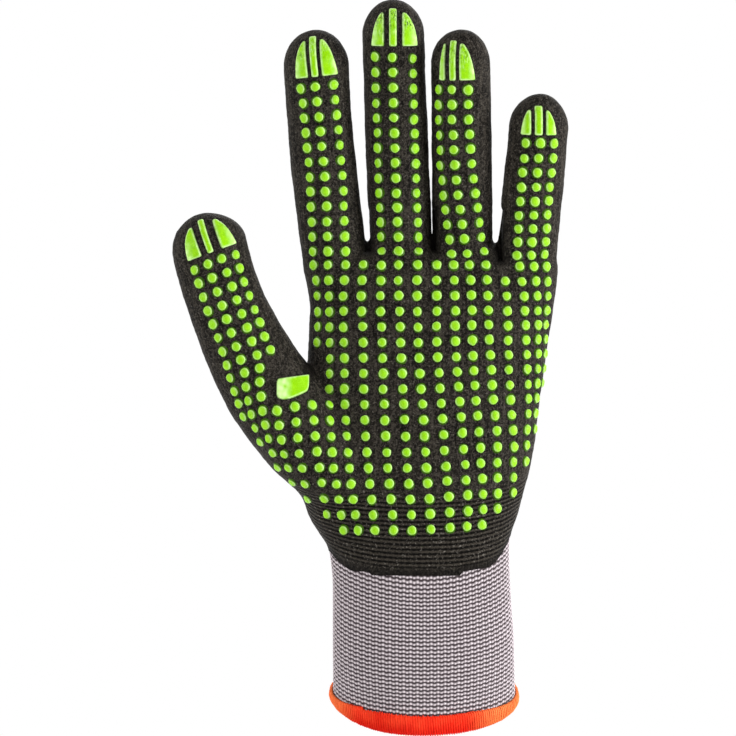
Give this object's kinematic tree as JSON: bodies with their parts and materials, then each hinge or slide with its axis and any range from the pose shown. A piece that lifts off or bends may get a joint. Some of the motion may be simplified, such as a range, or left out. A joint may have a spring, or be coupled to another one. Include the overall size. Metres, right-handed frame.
{
  "type": "nitrile coated work glove",
  "caption": "Left-hand knitted work glove with a black nitrile palm, green grip pads at the fingertips and an orange overlocked cuff edge, shaped as on a hand.",
  "frame": {"origin": "centre of the cuff's mouth, where the wrist goes in", "axes": "+Z along the fingers, palm towards -Y, thumb towards -X"},
  "size_m": [0.1314, 0.048, 0.243],
  "materials": {
    "knit": "ribbed knit of light grey yarn over dark elastic",
    "nitrile": "matt foamed nitrile with a fine grain",
    "grip_print": "satin raised print",
    "hem_thread": "overlocked thread"
  },
  "bodies": {
    "root": {"knit_cuff": "knit", "knit_palm": "knit", "knit_index": "knit", "knit_middle": "knit", "knit_ring": "knit", "knit_little": "knit", "knit_thumb": "knit", "nitrile_coating": "nitrile", "hem_overlock": "hem_thread", "pad_index_left": "grip_print", "pad_index_bar": "grip_print", "pad_index_right": "grip_print", "pad_middle_left": "grip_print", "pad_middle_bar": "grip_print", "pad_middle_right": "grip_print", "pad_ring_left": "grip_print", "pad_ring_bar": "grip_print", "pad_ring_right": "grip_print", "pad_little_left": "grip_print", "pad_little_bar": "grip_print", "pad_little_right": "grip_print", "pad_thumb_left": "grip_print", "pad_thumb_bar": "grip_print", "pad_thumb_right": "grip_print", "patch_thumb_fork": "grip_print"}
  },
  "joints": []
}
